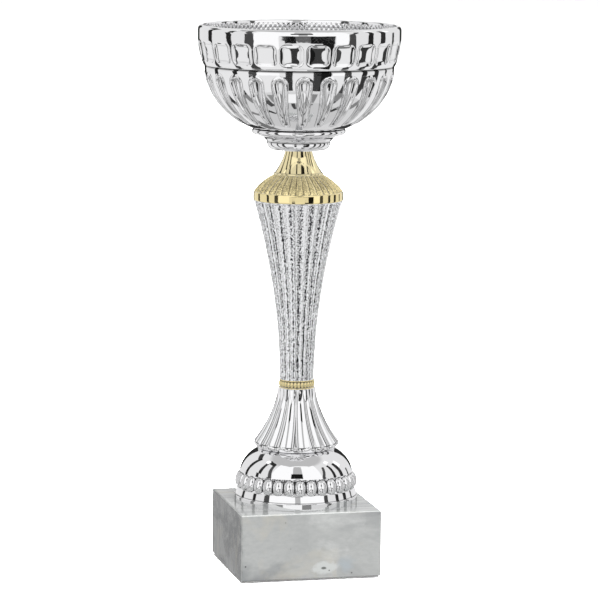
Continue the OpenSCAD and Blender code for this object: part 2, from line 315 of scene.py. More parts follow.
def make_foot():
    """Hollow shell: plain band, skirt, bead ring and dome, with a spigot for the riser."""
    edge = 0.1
    shoulder = 0.2
    top = FOOT_H + SPIGOT_H
    seat_top = DOME_Z + 5.0
    band = [(FOOT_BORE_R, 0.0), (PLINTH_R - 0.15, 0.0)]
    band += arc(PLINTH_R - edge, edge, edge, edge, -90, 0, 3)
    band += arc(PLINTH_R - SKIRT_STEP, PLINTH_H - shoulder, SKIRT_STEP, shoulder, 0, 90, 3)
    skirt = curve(skirt_r, PLINTH_H, SKIRT_TOP, 12) + [(30.2, SKIRT_TOP + 1.0), (29.5, SKIRT_TOP + 2.0)]
    seat = [(BEAD_CIRCLE_R, DOME_Z), (28.9, DOME_Z + 3.0), (dome_r(DOME_Z + 4.6) - 0.3, DOME_Z + 4.4)]
    seat += curve(dome_r, DOME_Z + 4.7, seat_top, 1)
    dome = curve(dome_r, seat_top, FOOT_H - 0.3, 26)
    crown = [(dome_r(FOOT_H) - 0.3, FOOT_H), (SPIGOT_R, FOOT_H), (SPIGOT_R, top), (ROD_HOLE_R, top)]
    inside = [(ROD_HOLE_R, top), (ROD_HOLE_R, FOOT_H - WEB)]
    inside += curve(lambda z: dome_r(z, WALL + 0.3), FOOT_H - WEB, DOME_Z, 12)
    inside += [(FOOT_BORE_R, DOME_Z), (FOOT_BORE_R, 0.0)]
    piece = turned("foot_shell", FOOT_Z, [
        (band, 0.4, PLAIN, 1),
        (skirt, 0.45, PLAIN, 1),
        (seat, 0.8, PLAIN, 1),
        (dome, 0.7, PLAIN, 1),
        (crown, 1.2, PLAIN, 2),
        (inside, 2.0, PLAIN, 4),
    ], FOOT_BEADS * 12)
    join_beads(piece, FOOT_BEADS, first=2.7, radius=BEAD_CIRCLE_R, height=FOOT_Z + 11.6,
               half=(3.1, 3.05, 4.5), lean=17.0, steps=(44, 30))
    return piece


# ---------------------------------------------------------------- riser

RISER_FLUTES = 18
RISER_TOP_R = 10.0
RISER_SPREAD = 12.8
RISER_WALL = 3.2
RISER_BORE_R = 17.8
LIP_H = 3.0
LIP_EDGE_R = 20.4
LIP_FOOT_R = 20.6
LIP_SWELL = 2.2
RING_SPIGOT_R = 6.0
RING_SPIGOT_H = 2.2


def riser_r(z):
    """Rolled lip, then a bell that flares from the top down."""
    if z <= LIP_H:
        return LIP_FOOT_R + LIP_SWELL * math.sin(math.pi / 2 * z / LIP_H)
    s = (RISER_H - z) / (RISER_H - LIP_H)
    return RISER_TOP_R + RISER_SPREAD * (0.28 * s + 0.72 * s * s)


def riser_relief(angle, r, z, side):
    """Hollow flutes between flat ridges, arched above the lip and running out at the top in a plain cone."""
    height = z - RISER_Z
    below_top = RISER_H - height
    phase = flute_phase(angle, RISER_FLUTES)
    hollow = 1.0 - np.abs(phase) ** 2.2
    arch_z = 1.2 + 2.2 * phase ** 2
    arch = smooth_step(arch_z - 0.9, arch_z + 0.9, height)
    # Depth as a share of the radius, a little more towards the top.
    depth = 0.060 + 0.012 * smooth_step(12.0, 4.0, below_top)
    cone_r = 9.95 + 0.072 * below_top
    return -np.minimum(depth * r * hollow * arch, r - cone_r)


def make_riser():
    """Hollow bell that stands over the foot's spigot and carries one for the bead ring."""
    flutes_low = LIP_H + 0.5
    top = RISER_H + RING_SPIGOT_H
    lip = [(RISER_BORE_R + 0.2, 0.0), (LIP_EDGE_R, 0.0)] + curve(riser_r, 0.15, flutes_low, 12)
    flutes = curve(riser_r, flutes_low, RISER_H, 40)
    crown = [(RISER_TOP_R, RISER_H), (RING_SPIGOT_R, RISER_H), (RING_SPIGOT_R, top), (ROD_HOLE_R, top)]
    inside = [(ROD_HOLE_R, top), (ROD_HOLE_R, RISER_H - WEB)]
    inside += curve(lambda z: riser_r(z) - RISER_WALL, RISER_H - WEB, LIP_H, 12)
    inside += [(RISER_BORE_R, 2.0), (RISER_BORE_R, 0.0)]
    return turned("riser_bell", RISER_Z, [
        (lip, 0.35, OUTER, 1),
        (flutes, 0.46, OUTER, 1),
        (crown, 1.0, PLAIN, 2),
        (inside, 2.0, PLAIN, 4),
    ], RISER_FLUTES * 40, riser_relief, turn=15.8, sharp=50)


# ---------------------------------------------------------------- bead ring

RING_BEADS = 30
RING_BORE_R = 6.2
RING_CORE_R = 8.0
RING_RIM = 0.25
RING_FLANGE = 0.5


def make_bead_ring():
    """A groove between two thin flanges, filled by the beads."""
    lower_r = 9.2
    upper_r = 9.1
    lower = [(RING_BORE_R, 0.0), (lower_r, 0.0)]
    lower += arc(lower_r, RING_RIM, RING_RIM, RING_RIM, -90, 90, 6)
    groove = [(RING_CORE_R, RING_FLANGE), (RING_CORE_R, RING_H - RING_FLANGE)]
    upper = arc(upper_r, RING_H - RING_RIM, RING_RIM, RING_RIM, -90, 90, 6)
    upper += [(RING_BORE_R, RING_H), (RING_BORE_R, 0.0)]
    piece = turned("gold_bead_ring", RING_Z, [
        (lower, 0.3, PLAIN, 1),
        (groove, 0.5, PLAIN, 1),
        (upper, 0.5, PLAIN, 1),
    ], RING_BEADS * 8)
    join_beads(piece, RING_BEADS, first=0.0, radius=8.75, height=RING_Z + RING_H / 2,
               half=(0.86, 0.95, 1.6), lean=0.0, steps=(24, 16))
    return piece


# ---------------------------------------------------------------- column

COLUMN_FLUTES = 24
COLUMN_TURN = 13.3
COLUMN_SEAT_R = 9.0
COLUMN_MOUTH_R = 20.2
COLUMN_WALL = 2.5
COLUMN_FLUTE_DEPTH = 0.035
PEEN_DEPTH = 0.025
PEEN_ROWS = 400


def column_r(z):
    """Column that widens ever faster towards its top."""
    t = z / COLUMN_H
    return 9.1 + 1.2 * t + 13.2 * t * t


def column_relief_with(noise):
    """Shallow flutes, as deep as a share of the radius, with a hammered skin that fades at both ends."""
    def relief(angle, r, z, side):
        height = z - COLUMN_Z
        hollow = 1.0 - np.abs(flute_phase(angle, COLUMN_FLUTES)) ** 2
        rows = np.clip((height / COLUMN_H * (PEEN_ROWS - 1)).astype(int), 0, PEEN_ROWS - 1)
        grain = noise[rows, np.arange(angle.shape[1])[None, :]]
        ends = smooth_step(0.0, 0.8, height) * smooth_step(0.0, 0.8, COLUMN_H - height)
        return -COLUMN_FLUTE_DEPTH * r * hollow - PEEN_DEPTH * np.abs(grain) * ends
    return relief


def mark_flutes(piece):
    """Store on each vertex how deep in a flute it lies, 1 at the bottom and 0 on a ridge."""
    places = np.empty(len(piece.data.vertices) * 3)
    piece.data.vertices.foreach_get("co", places)
    places = places.reshape(-1, 3)
    angle = np.arctan2(places[:, 1], places[:, 0]) - math.radians(COLUMN_TURN)
    depth = 1.0 - np.abs(flute_phase(angle, COLUMN_FLUTES))
    piece.data.attributes.new("flute", "FLOAT", "POINT").data.foreach_set("value", depth)


def make_column():
    """Hollow column, closed at its lower end and open at its upper."""
    columns = COLUMN_FLUTES * 20
    noise = wear((PEEN_ROWS, columns), SEED, (40, 60), (110, 200))
    underside = [(ROD_HOLE_R, 0.0), (COLUMN_SEAT_R, 0.0)]
    skin = curve(column_r, 0.0, COLUMN_H, 60)
    inside = [(COLUMN_MOUTH_R, COLUMN_H)]
    inside += curve(lambda z: column_r(z) - COLUMN_WALL, COLUMN_H, WEB, 16)
    inside += [(ROD_HOLE_R, WEB), (ROD_HOLE_R, 0.0)]
    piece = turned("fluted_column", COLUMN_Z, [
        (underside, 2.0, PLAIN, 1),
        (skin, 0.58, OUTER, 1),
        (inside, 4.0, PLAIN, 4),
    ], columns, column_relief_with(noise), turn=COLUMN_TURN, sharp=60)
    mark_flutes(piece)
    return piece


# ---------------------------------------------------------------- collar

SHOULDER_RIBS = 36
COLLAR_R = 23.65
BAND_H = 4.5
SHOULDER_H = 9.0
SHOULDER_WALL = 3.0
PLUG_H = 3.0
PLUG_PLAY = 0.5


def shoulder_r(z):
    """Domed shoulder, measured from the top of the plain band."""
    u = z / SHOULDER_H
    return COLLAR_R - 5.2 * u - 5.5 * u * u


def shoulder_relief(angle, r, z, side):
    """Rounded ribs with sharp valleys between them."""
    return -0.04 * r * np.abs(flute_phase(angle, SHOULDER_RIBS, 0.0)) ** 1.5


def make_collar():
    """Plain band and ribbed shoulder over a plug that stands in the column's mouth."""
    edge = 0.4
    top = BAND_H + SHOULDER_H
    plug_r = column_r(COLUMN_H - PLUG_H) - COLUMN_WALL - PLUG_PLAY
    bore_r = plug_r - WALL
    under_r = shoulder_r(SHOULDER_H - WEB) - SHOULDER_WALL
    band = [(bore_r, -PLUG_H), (plug_r, -PLUG_H), (plug_r, 0.0), (COLLAR_R - 0.5, 0.0)]
    band += arc(COLLAR_R - edge, edge, edge, edge, -90, 0, 4)
    band += arc(COLLAR_R - edge, BAND_H - edge, edge, edge, 0, 90, 4)
    shoulder = raised(curve(lambda z: shoulder_r(z) - 0.3, 0.0, SHOULDER_H, 24), BAND_H)
    inside = [(ROD_HOLE_R, top), (ROD_HOLE_R, top - WEB), (under_r, top - WEB)]
    inside += [(bore_r, BAND_H), (bore_r, -PLUG_H)]
    return turned("gold_collar", COLLAR_Z, [
        (band, 0.6, PLAIN, 1),
        (shoulder, 0.2, OUTER, 1),
        (inside, 2.0, PLAIN, 4),
    ], SHOULDER_RIBS * 20, shoulder_relief, turn=8.5, sharp=50)


# ---------------------------------------------------------------- neck

NECK_TOP_H = 6.0
NECK_COLUMNS = 256


def neck_r(z):
    """Trumpet that narrows towards the cup."""
    v = (NECK_H - z) / NECK_H
    return 7.0 + 2.4 * v + 3.8 * v * v


def make_neck():
    """Hollow trumpet, solid round the rod near its top."""
    foot_r = neck_r(0.0)
    bore_r = foot_r - WALL
    outer = [(bore_r, 0.0), (foot_r - 0.6, 0.0)] + arc(foot_r - 0.5, 0.5, 0.4, 0.5, -90, 60, 8)
    outer += curve(neck_r, 1.0, NECK_H, 30)
    inside = [(ROD_HOLE_R, NECK_H), (ROD_HOLE_R, NECK_H - NECK_TOP_H), (bore_r, 0.0)]
    return turned("gold_neck", NECK_Z, [
        (outer, 0.4, PLAIN, 1),
        (inside, 2.0, PLAIN, 2),
    ], NECK_COLUMNS, sharp=50)


# ---------------------------------------------------------------- cup

CUP_REPEATS = 24
CUP_R = 53.1
CUP_WALL = 1.8
BOWL_R = 49.6
BOWL_DEPTH = 38.4
BOWL_LOW = 11.7
SCOOPS_LOW = 13.4
BOWL_Z = 44.5
BAND_TOP = 59.5
BAND_TUCK = 3.15
WINDOW_Z = 51.8
SCOOP_LOW_Z = 15.3
SCOOP_HIGH_Z = 36.8
LATTICE_DEPTH = 8.0
LATTICE_PITCH = 3.4
WELL_R = 12.5
WELL_FLOOR = 4.0


def bowl_r(z, inset=0.0):
    """Bowl whose side is a quarter of an oval, up to its widest place at the ledge."""
    depth = (BOWL_Z - z) / (BOWL_DEPTH - inset)
    return (BOWL_R - inset) * math.sqrt(max(0.0, 1.0 - depth ** 2))


def band_r(z):
    """Upper band, upright at the rim and tucked in towards the ledge."""
    if z >= BAND_TOP:
        return CUP_R
    return CUP_R - BAND_TUCK * ((BAND_TOP - z) / (BAND_TOP - BOWL_Z + 0.5)) ** 2.2


def band_inside_r(z):
    """Inner face of the upper band, with a thicker wall towards the rim."""
    return band_r(z) - CUP_WALL - 0.8 * smooth_step(BOWL_Z + 10.0, BAND_TOP, z)


def along_bowl(z):
    """Length along the cup's side up to a height."""
    heights = np.linspace(12.0, 64.0, 400)
    radii = [bowl_r(h) if h < BOWL_Z - 0.5 else band_r(h) for h in heights]
    steps = np.hypot(np.diff(radii), np.diff(heights))
    return np.interp(z, heights, np.concatenate([[0.0], np.cumsum(steps)]))


def window_relief(u, v):
    """Dished square with round corners and a sunk edge, u and v from its middle in millimetres."""
    half_w = 5.9
    half_h = 5.6
    corner = 3.0
    qx = np.abs(u) - (half_w - corner)
    qy = np.abs(v) - (half_h - corner)
    beyond = np.hypot(np.maximum(qx, 0.0), np.maximum(qy, 0.0)) - corner
    outside = beyond + np.minimum(np.maximum(qx, qy), 0.0)
    edge = 0.45 * smooth_step(-0.35, 0.85, -outside)
    hollow_u = np.clip(1.0 - np.abs(u / half_w) ** 2.0, 0.0, 1.0)
    hollow_v = np.clip(1.0 - np.abs(v / half_h) ** 2.4, 0.0, 1.0)
    dish = 0.75 * hollow_u * hollow_v * smooth_step(0.3, 1.6, -outside)
    return -(edge + dish)


def scoop_relief(u, v, length):
    """Tapered scoop with a raised border; v runs up from the centre of its small lower end."""
    low_r = 2.0
    high_r = 4.15
    u = np.abs(u)
    lean = (low_r - high_r) / length
    slope = math.sqrt(1.0 - lean * lean)
    along = -u * lean + v * slope
    side = u * slope + v * lean - low_r
    low = np.hypot(u, v) - low_r
    high = np.hypot(u, v - length) - high_r
    outside = np.where(along < 0.0, low, np.where(along > slope * length, high, side))
    border = 0.36 * np.exp(-((outside + 0.55) / 0.38) ** 2)
    inset = np.clip(-outside - 0.9, 0.0, None)
    scoop = 1.0 - (1.0 - np.clip(inset / 2.6, 0.0, 1.0)) ** 2
    return border - scoop


def lattice(angle, s):
    """Crossed slanting ridges on the inner wall near the rim; s is the length along the cup's side."""
    turns = 5.0 * CUP_REPEATS / (2.0 * math.pi)
    one = np.abs((angle * turns + s / LATTICE_PITCH) % 1.0 - 0.5)
    two = np.abs((angle * turns - s / LATTICE_PITCH) % 1.0 - 0.5)
    uneven = 0.75 + 0.25 * np.sin(angle * 17.0 + s) * np.cos(angle * 31.0 - 0.7 * s)
    return 0.20 * uneven * (smooth_step(0.0, 0.5, one) + smooth_step(0.0, 0.5, two))


def cup_relief(angle, r, z, side):
    """Windows on the upper band and scoops below it, both showing through inside, with the lattice."""
    height = z - CUP_Z
    s = along_bowl(height)
    window = window_relief(across(angle, CUP_REPEATS, 0.5) * r, s - along_bowl(WINDOW_Z))
    low = along_bowl(SCOOP_LOW_Z)
    scoop = scoop_relief(across(angle, CUP_REPEATS) * r, s - low, along_bowl(SCOOP_HIGH_Z) - low)
    relief = np.where(height > BOWL_Z, window, scoop)
    fade = smooth_step(BOWL_Z, BOWL_Z + 3.0, height) * smooth_step(CUP_H - 1.7, CUP_H - 2.6, height)
    back = 0.9 * relief - lattice(angle, s) * fade
    return np.where(side < 0, back, relief)


def cup_stem():
    """Outline of the two turned steps under the bowl."""
    low_step_r = 13.0
    high_step_r = 22.4
    stem = [(ROD_HOLE_R, 0.0), (low_step_r, 0.0)] + arc(low_step_r, 3.6, 3.7, 3.6, -80, 10, 12)
    stem += [(17.2, 5.0), (18.6, 6.4), (20.0, 7.2), (high_step_r, 8.0)]
    stem += arc(high_step_r, 9.8, 2.2, 1.8, -60, 60, 12)
    return stem + curve(bowl_r, BOWL_LOW, SCOOPS_LOW, 4)


def cup_rim():
    """Outline of the rolled rim, from the top of the windows over to the inside."""
    rim_h = 2.6
    rim_w = 1.9
    inner_w = 0.7
    rim = curve(band_r, BAND_TOP - 1.0, CUP_H - rim_h, 3)
    rim += arc(CUP_R - rim_w, CUP_H - rim_h, rim_w, rim_h, 0, 90, 10)
    return rim + arc(CUP_R - rim_w, CUP_H - inner_w, inner_w, inner_w, 90, 180, 5)


def make_cup():
    """Stem, bowl, upper band and rim in one wall, with a well inside for the washer and the nut."""
    lattice_low = CUP_H - LATTICE_DEPTH
    scoops = curve(bowl_r, SCOOPS_LOW, BOWL_Z - 0.9, 50)
    ledge = arc(band_r(BOWL_Z) - 0.4, BOWL_Z + 0.1, 0.4, 0.4, -90, 0, 4)
    windows = curve(band_r, BOWL_Z + 0.3, BAND_TOP - 1.0, 24)
    lattice_wall = curve(band_inside_r, CUP_H - 1.6, lattice_low, 8)
    inner = curve(band_inside_r, lattice_low, BOWL_Z, 16)
    inner += curve(lambda z: bowl_r(z, CUP_WALL), BOWL_Z, 12.3, 40)
    well = [(13.5, 9.7), (WELL_R, 7.7), (WELL_R, WELL_FLOOR), (ROD_HOLE_R, WELL_FLOOR), (ROD_HOLE_R, 0.0)]
    return turned("cup_bowl", CUP_Z, [
        (cup_stem(), 0.8, PLAIN, 3),
        (scoops, 0.85, OUTER, 1),
        (ledge, 0.3, PLAIN, 1),
        (windows, 0.4, OUTER, 1),
        (cup_rim(), 0.5, PLAIN, 1),
        (lattice_wall, 0.45, INNER, 1),
        (inner, 1.1, INNER, 2),
        (well, 2.5, PLAIN, 6),
    ], CUP_REPEATS * 36, cup_relief, turn=5.0, sharp=60)


# ---------------------------------------------------------------- materials

class Tree:
    """Short names for building a tree of shader nodes."""

    def __init__(self, tree):
        self.tree = tree

    def add(self, kind, **inputs):
        node = self.tree.nodes.new(kind)
        for key, value in inputs.items():
            node.inputs[key].default_value = value
        return node

    def link(self, output, target):
        self.tree.links.new(output, target)

    def place(self):
        """The point's own place on the trophy, in metres."""
        return self.add("ShaderNodeTexCoord").outputs["Object"]

    def split(self, vector):
        """The X, Y and Z outputs of a vector."""
        node = self.add("ShaderNodeSeparateXYZ")
        self.link(vector, node.inputs[0])
        return node.outputs

    def scaled(self, vector, scale, shift=(0.0, 0.0, 0.0)):
        node = self.add("ShaderNodeMapping", Scale=scale, Location=shift)
        self.link(vector, node.inputs["Vector"])
        return node.outputs["Vector"]

    def noise(self, scale, detail=3.0, roughness=0.5, vector=None, distortion=0.0):
        node = self.add("ShaderNodeTexNoise", Scale=scale, Detail=detail, Roughness=roughness,
                        Distortion=distortion)
        self.link(vector or self.place(), node.inputs["Vector"])
        return node.outputs["Fac"]

    def remap(self, value, from_low, from_high, to_low, to_high):
        """The value carried from one range to another and held at its ends."""
        node = self.add("ShaderNodeMapRange")
        node.inputs["From Min"].default_value = from_low
        node.inputs["From Max"].default_value = from_high
        node.inputs["To Min"].default_value = to_low
        node.inputs["To Max"].default_value = to_high
        self.link(value, node.inputs["Value"])
        return node.outputs["Result"]

    def math(self, kind, a, b=None):
        node = self.add("ShaderNodeMath")
        node.operation = kind
        self.link(a, node.inputs[0])
        if b is not None:
            self.link(b, node.inputs[1])
        return node.outputs[0]

    def mix(self, factor, a, b):
        """Colour a where the factor is 0 and b where it is 1; either may be a node's output."""
        node = self.add("ShaderNodeMix")
        node.data_type = "RGBA"
        self.link(factor, node.inputs[0])
        for socket, colour in ((node.inputs[6], a), (node.inputs[7], b)):
            if hasattr(colour, "links"):
                self.link(colour, socket)
            else:
                socket.default_value = (*colour, 1.0)
        return node.outputs[2]


class Surface(Tree):
    """A new material, with its Principled shader as shader."""

    def __init__(self, name):
        self.material = bpy.data.materials.new(name)
        self.material.use_nodes = True
        super().__init__(self.material.node_tree)
        self.shader = self.tree.nodes["Principled BSDF"]

    def uniform(self, **values):
        """Set one value over the whole surface; underscores stand for spaces."""
        for key, value in values.items():
            self.shader.inputs[key.replace("_", " ")].default_value = value

    def vary(self, key, output):
        """Let a node's output set one of the shader's values."""
        self.link(output, self.shader.inputs[key])

    def bump(self, height, strength, distance, normal=None):
        node = self.add("ShaderNodeBump", Distance=distance)
        if hasattr(strength, "links"):
            self.link(strength, node.inputs["Strength"])
        else:
            node.inputs["Strength"].default_value = strength
        self.link(height, node.inputs["Height"])
        if normal is not None:
            self.link(normal, node.inputs["Normal"])
        self.vary("Normal", node.outputs["Normal"])
        return node.outputs["Normal"]


def plated(name, colour, haze, ripple, crease_shade, creased=(0.455, 0.495), grain_above=None):
    """Bright plating: mirror-like, with faint ripples, handling haze and painted shade in its creases.

    Pointiness within creased, or a crevice narrower than about a millimetre, goes down to crease_shade
    of the colour. Above the height grain_above, in metres, a fine grain is added.
    """
    n = Surface(name)
    n.uniform(Metallic=1.0)
    # Painted shade: creases (pointiness) and narrow crevices (ambient occlusion) take a darker colour.
    crease = n.add("ShaderNodeNewGeometry").outputs["Pointiness"]
    crevice = n.add("ShaderNodeAmbientOcclusion", Distance=1.2 * MM)
    crevice.samples = 8
    crevice.only_local = True
    unshaded_ungrained = n.math("MULTIPLY", n.remap(crease, *creased, 0.0, 1.0),
                   n.remap(crevice.outputs["AO"], 0.35, 0.72, 0.0, 1.0))
    rippled = n.bump(n.noise(130.0, 2.0, 0.5), ripple, 0.4 * MM)
    if grain_above is not None:
        above = n.remap(n.split(n.place())["Z"], grain_above, grain_above + 0.5 * MM, 0.0, 1.0)
        grain = n.noise(1300.0, 1.0, 0.5)
        unshaded_ungrained = n.math("SUBTRACT", unshaded_ungrained, n.math("MULTIPLY", above, n.remap(grain, 0.52, 0.61, 0.0, 0.35)))
        n.bump(grain, above, 0.15 * MM, rippled)
    # Painted shade colour for creases and crevices, crease_shade of the plating's colour.
    deep = tuple(crease_shade * part for part in colour)
    n.vary("Base Color", n.mix(unshaded_ungrained, deep, colour))
    n.vary("Roughness", n.remap(n.noise(60.0, 4.0, 0.6), 0.3, 0.75, *haze))
    return n.material


def hammered():
    """Bright plating over fine peened grain with dark grains; deep in the flutes more grains turn dark, as
    painted shade.
    """
    n = Surface("hammered_silver")
    n.uniform(Metallic=1.0)
    grain = n.noise(1500.0, 1.0, 0.5, vector=n.scaled(n.place(), (1.0, 1.0, 0.6)))
    depth = n.add("ShaderNodeAttribute")
    depth.attribute_name = "flute"
    # The depth in the flutes adds painted shade: the dark grains spread towards the flute bottoms.
    shade = n.math("ADD", grain, n.remap(depth.outputs["Fac"], 0.50, 0.95, -0.08, 0.17))
    dull = n.remap(shade, 0.585, 0.665, 0.0, 1.0)
    n.vary("Base Color", n.mix(dull, (0.98, 0.985, 1.0), (0.07, 0.07, 0.08)))
    n.vary("Roughness", n.remap(n.noise(90.0, 3.0, 0.5), 0.3, 0.7, 0.06, 0.12))
    n.bump(grain, 1.0, 0.1 * MM)
    return n.material


def block_edge_highlight(n):
    """1 within half a millimetre of the stone block's edges, where the painted edge highlight goes, 0
    elsewhere.
    """
    place = n.split(n.place())

    def near_face(distance, face):
        return n.remap(distance, (face - 0.6) * MM, (face - 0.2) * MM, 0.0, 1.0)

    x = near_face(n.math("ABSOLUTE", place["X"]), BLOCK_HALF)
    y = near_face(n.math("ABSOLUTE", place["Y"]), BLOCK_HALF)
    z = near_face(place["Z"], BLOCK_TOP)
    upright = n.math("MINIMUM", x, y)
    level_edges = n.math("MINIMUM", n.math("MAXIMUM", x, y), z)
    return n.math("MAXIMUM", upright, level_edges)


def nearness(n, middle, half, soft):
    """1 inside an oval of the given half sizes round a point, 0 outside it, with a ragged edge."""
    scale = [1.0 / (h * MM) for h in half]
    shift = [-m / h for m, h in zip(middle, half)]
    length = n.add("ShaderNodeVectorMath")
    length.operation = "LENGTH"
    n.link(n.scaled(n.place(), scale, shift), length.inputs[0])
    ragged = n.remap(n.noise(260.0, 3.0, 0.6), 0.3, 0.7, -0.3, 0.3)
    return n.remap(n.math("ADD", length.outputs["Value"], ragged), 1.0 - soft, 1.0, 1.0, 0.0)


STONE_LIGHT = (0.267, 0.273, 0.268)
STONE_MID = (0.238, 0.244, 0.241)
STONE_VEIN = (0.135, 0.141, 0.145)
STONE_BRIGHT = (0.38, 0.385, 0.38)
STONE_FINE = (0.190, 0.196, 0.198)
# Dark blotches of the stone, also the painted shade of the left face.
STONE_BLOTCH_AND_SHADE = (0.055, 0.060, 0.066)
STONE_OCHRE = (0.33, 0.305, 0.245)
STONE_PIT = (0.035, 0.035, 0.035)
# Painted highlight colour along the block's edges.
STONE_EDGE_HIGHLIGHT = (0.40, 0.41, 0.40)
FRONT_MARKS = (
    # middle x and z on the front face, half sizes, softness, colour: pale patch, dark spot, blue stain
    (7.5, 6.8, (8.5, 6.0, 4.0), 0.35, (0.33, 0.34, 0.335)),
    (6.5, 6.6, (1.9, 4.0, 0.8), 0.5, (0.10, 0.105, 0.10)),
    (18.5, 8.5, (5.5, 6.0, 5.0), 0.7, (0.23, 0.25, 0.262)),
)


def stone_clouds(n):
    """Clouds with darker bedding veins and brighter ones along the block's width, and a fine grain."""
    place = n.place()
    cloud = n.noise(34.0, 6.0, 0.6, distortion=0.7)
    stone = n.mix(n.remap(cloud, 0.30, 0.70, 0.0, 1.0), STONE_MID, STONE_LIGHT)
    bedding = n.noise(1.0, 6.0, 0.62, n.scaled(place, (16.0, 150.0, 22.0)), 0.5)
    stone = n.mix(n.remap(bedding, 0.51, 0.66, 0.0, 0.8), stone, STONE_VEIN)
    bright = n.noise(1.0, 5.0, 0.6, n.scaled(place, (30.0, 150.0, 38.0), (3.1, 7.7, 1.9)), 0.4)
    stone = n.mix(n.remap(bright, 0.56, 0.72, 0.0, 0.6), stone, STONE_BRIGHT)
    fine = n.noise(1.0, 5.0, 0.65, n.scaled(place, (260.0, 420.0, 520.0)))
    return n.mix(n.remap(fine, 0.42, 0.62, 0.0, 0.26), stone, STONE_FINE)


def stone_stains(n, stone):
    """Dark blotches on the left face, partly mottled stone and partly painted shade on that side, ochre
    stains all over and the marks on the front face.
    """
    place = n.place()
    blotch = n.noise(1.0, 6.0, 0.65, n.scaled(place, (90.0, 26.0, 62.0), (2.0, 5.0, 9.0)), 0.8)
    # Left face only: dark blotches that also paint shade onto that side of the block.
    left_face = nearness(n, (-BLOCK_HALF - 1.0, 0.0, BLOCK_TOP / 2), (1.6, 300.0, 300.0), 0.4)
    left_blotch_and_shade = n.math("MULTIPLY", left_face, n.remap(blotch, 0.43, 0.58, 0.0, 0.9))
    stone = n.mix(left_blotch_and_shade, stone, STONE_BLOTCH_AND_SHADE)
    ochre = n.noise(1.0, 4.0, 0.6, n.scaled(place, (42.0, 80.0, 42.0), (11.0, 2.0, 5.0)), 0.8)
    stone = n.mix(n.remap(ochre, 0.54, 0.70, 0.0, 0.35), stone, STONE_OCHRE)
    for x, z, half, soft, colour in FRONT_MARKS:
        stone = n.mix(nearness(n, (x, -BLOCK_HALF, z), half, soft), stone, colour)
    return stone


def stone_pits(n, stone):
    """A few small dark pits."""
    cells = n.add("ShaderNodeTexVoronoi", Scale=150.0)
    n.link(n.place(), cells.inputs["Vector"])
    spot = n.remap(cells.outputs["Distance"], 0.03, 0.09, 1.0, 0.0)
    chosen = n.remap(n.noise(75.0, 2.0, 0.5), 0.48, 0.52, 0.0, 1.0)
    return n.mix(n.math("MULTIPLY", spot, chosen), stone, STONE_PIT)


def marble():
    """Polished grey marble with painted highlights along its edges."""
    n = Surface("grey_marble")
    stone = stone_pits(n, stone_stains(n, stone_clouds(n)))
    # Painted highlight: a paler colour along the block's edges.
    n.vary("Base Color", n.mix(block_edge_highlight(n), stone, STONE_EDGE_HIGHLIGHT))
    n.vary("Roughness", n.remap(n.noise(300.0, 4.0, 0.6), 0.3, 0.7, 0.09, 0.16))
    n.bump(n.noise(900.0, 3.0, 0.6), 0.25, 0.06 * MM)
    return n.material


def steel():
    """Zinc-plated steel, worn dull in patches."""
    n = Surface("zinc_steel")
    n.uniform(Metallic=1.0, Base_Color=(0.62, 0.63, 0.64, 1.0))
    n.vary("Roughness", n.remap(n.noise(400.0, 4.0, 0.6), 0.3, 0.7, 0.25, 0.42))
    return n.material


def felt():
    """Black felt with a rough nap."""
    n = Surface("black_felt")
    n.uniform(Roughness=1.0, Base_Color=(0.02, 0.02, 0.022, 1.0))
    n.bump(n.noise(1500.0, 3.0, 0.7), 0.6, 0.3 * MM)
    return n.material


def paint(obj, material):
    """Give a new mesh its material."""
    obj.data.materials.clear()
    obj.data.materials.append(material)


def paint_node(node, material):
    """Give a carried-over CAD node its material."""
    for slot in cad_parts[node].material_slots:
        slot.link = "OBJECT"
        slot.material = material


# ---------------------------------------------------------------- camera

CAMERA_TURN = -13.174
CAMERA_RISE = 7.971
CAMERA_ROLL = 0.499
CAMERA_DISTANCE = 1734.2
CAMERA_LENS = 197.6
AIM_HEIGHT = 142.86
AIM_ASIDE = 1.364


def make_camera():
    """Long lens, a little above the trophy and to the left of its front face."""
    turn = math.radians(CAMERA_TURN)
    rise = math.radians(CAMERA_RISE)
    roll = math.radians(CAMERA_ROLL)
    back = Vector((math.sin(turn) * math.cos(rise), -math.cos(turn) * math.cos(rise), math.sin(rise)))
    right = Vector((math.cos(turn), math.sin(turn), 0.0))
    up = back.cross(right)
    aim = Vector((0.0, 0.0, AIM_HEIGHT)) + right * AIM_ASIDE
    side = right * math.cos(roll) + up * math.sin(roll)
    top = up * math.cos(roll) - right * math.sin(roll)
    data = bpy.data.cameras.new("camera")
    data.lens = CAMERA_LENS
    data.sensor_width = 36.0
    camera = bpy.data.objects.new("camera", data)
    place = Matrix((side, top, back)).transposed().to_4x4()
    place.translation = (aim + back * CAMERA_DISTANCE) * MM
    camera.matrix_world = place
    bpy.context.scene.collection.objects.link(camera)
    bpy.context.scene.camera = camera


# ---------------------------------------------------------------- studio

FACING = -90.0 + CAMERA_TURN
CARD_REACH = 1.15
CARD_HEIGHT = 0.055
CARD_LOWEST = 0.001

